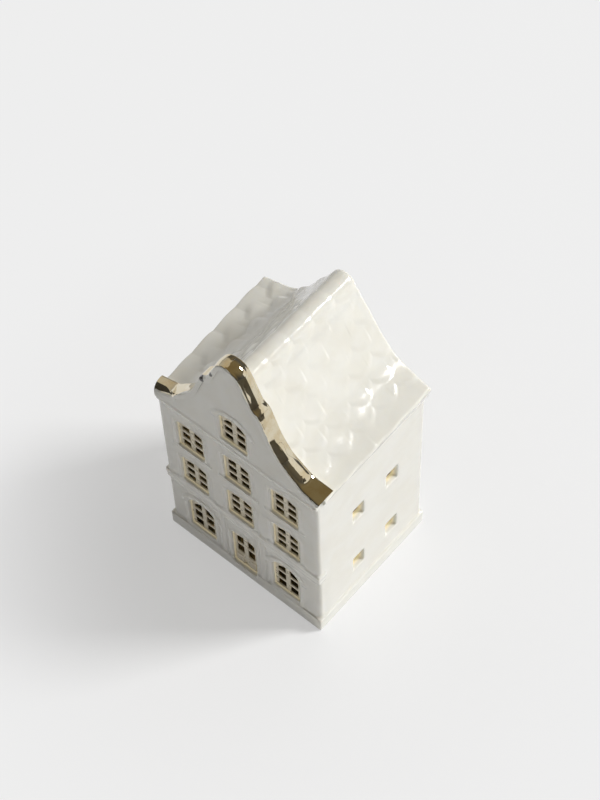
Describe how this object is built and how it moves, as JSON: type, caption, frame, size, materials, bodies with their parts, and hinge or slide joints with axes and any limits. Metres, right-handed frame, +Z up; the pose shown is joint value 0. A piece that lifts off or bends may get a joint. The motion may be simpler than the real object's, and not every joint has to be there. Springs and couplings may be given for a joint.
{
  "type": "tealight house",
  "caption": "White glazed porcelain canal house that holds a tealight: bell gable with a gilt coping, scalloped tile roof, pierced windows and an arched doorway at the back.",
  "frame": {"origin": "on the ground under the middle of the house's outer box", "axes": "+Z up, the facade looks along -Y, the rear doorway along +Y, +X to the right as seen from the front"},
  "size_m": [0.0842, 0.0672, 0.154],
  "materials": {
    "porcelain": "thick clear gloss glaze over white porcelain",
    "lattice_glaze": "cream gloss glaze with a gold bloom",
    "gold_lustre": "mirror-bright fired gold lustre",
    "cup_aluminium": "bright pressed foil",
    "wax": "satin candle wax",
    "tin_plate": "dull tin plate",
    "cotton": "waxed braided cotton"
  },
  "bodies": {
    "house": {"floor_plate": "porcelain", "front_facade": "porcelain", "left_wall": "porcelain", "right_wall": "porcelain", "back_wall": "porcelain", "left_roof_slope": "porcelain", "right_roof_slope": "porcelain", "ridge_caps": "porcelain", "gable_coping": "gold_lustre", "front_door": "lattice_glaze", "ground_floor_left_window": "lattice_glaze", "ground_floor_right_window": "lattice_glaze", "first_floor_left_window": "lattice_glaze", "first_floor_centre_window": "lattice_glaze", "first_floor_right_window": "lattice_glaze", "second_floor_left_window": "lattice_glaze", "second_floor_centre_window": "lattice_glaze", "second_floor_right_window": "lattice_glaze", "attic_window": "lattice_glaze"},
    "tealight": {"tealight_cup": "cup_aluminium", "tealight_wax": "wax", "wick_holder": "tin_plate", "tealight_wick": "cotton"}
  },
  "joints": [
    {"name": "tealight_slide", "type": "slide", "parent": "house", "child": "tealight", "axis": [0, 1, 0], "range_m": [0, 0.06]}
  ]
}
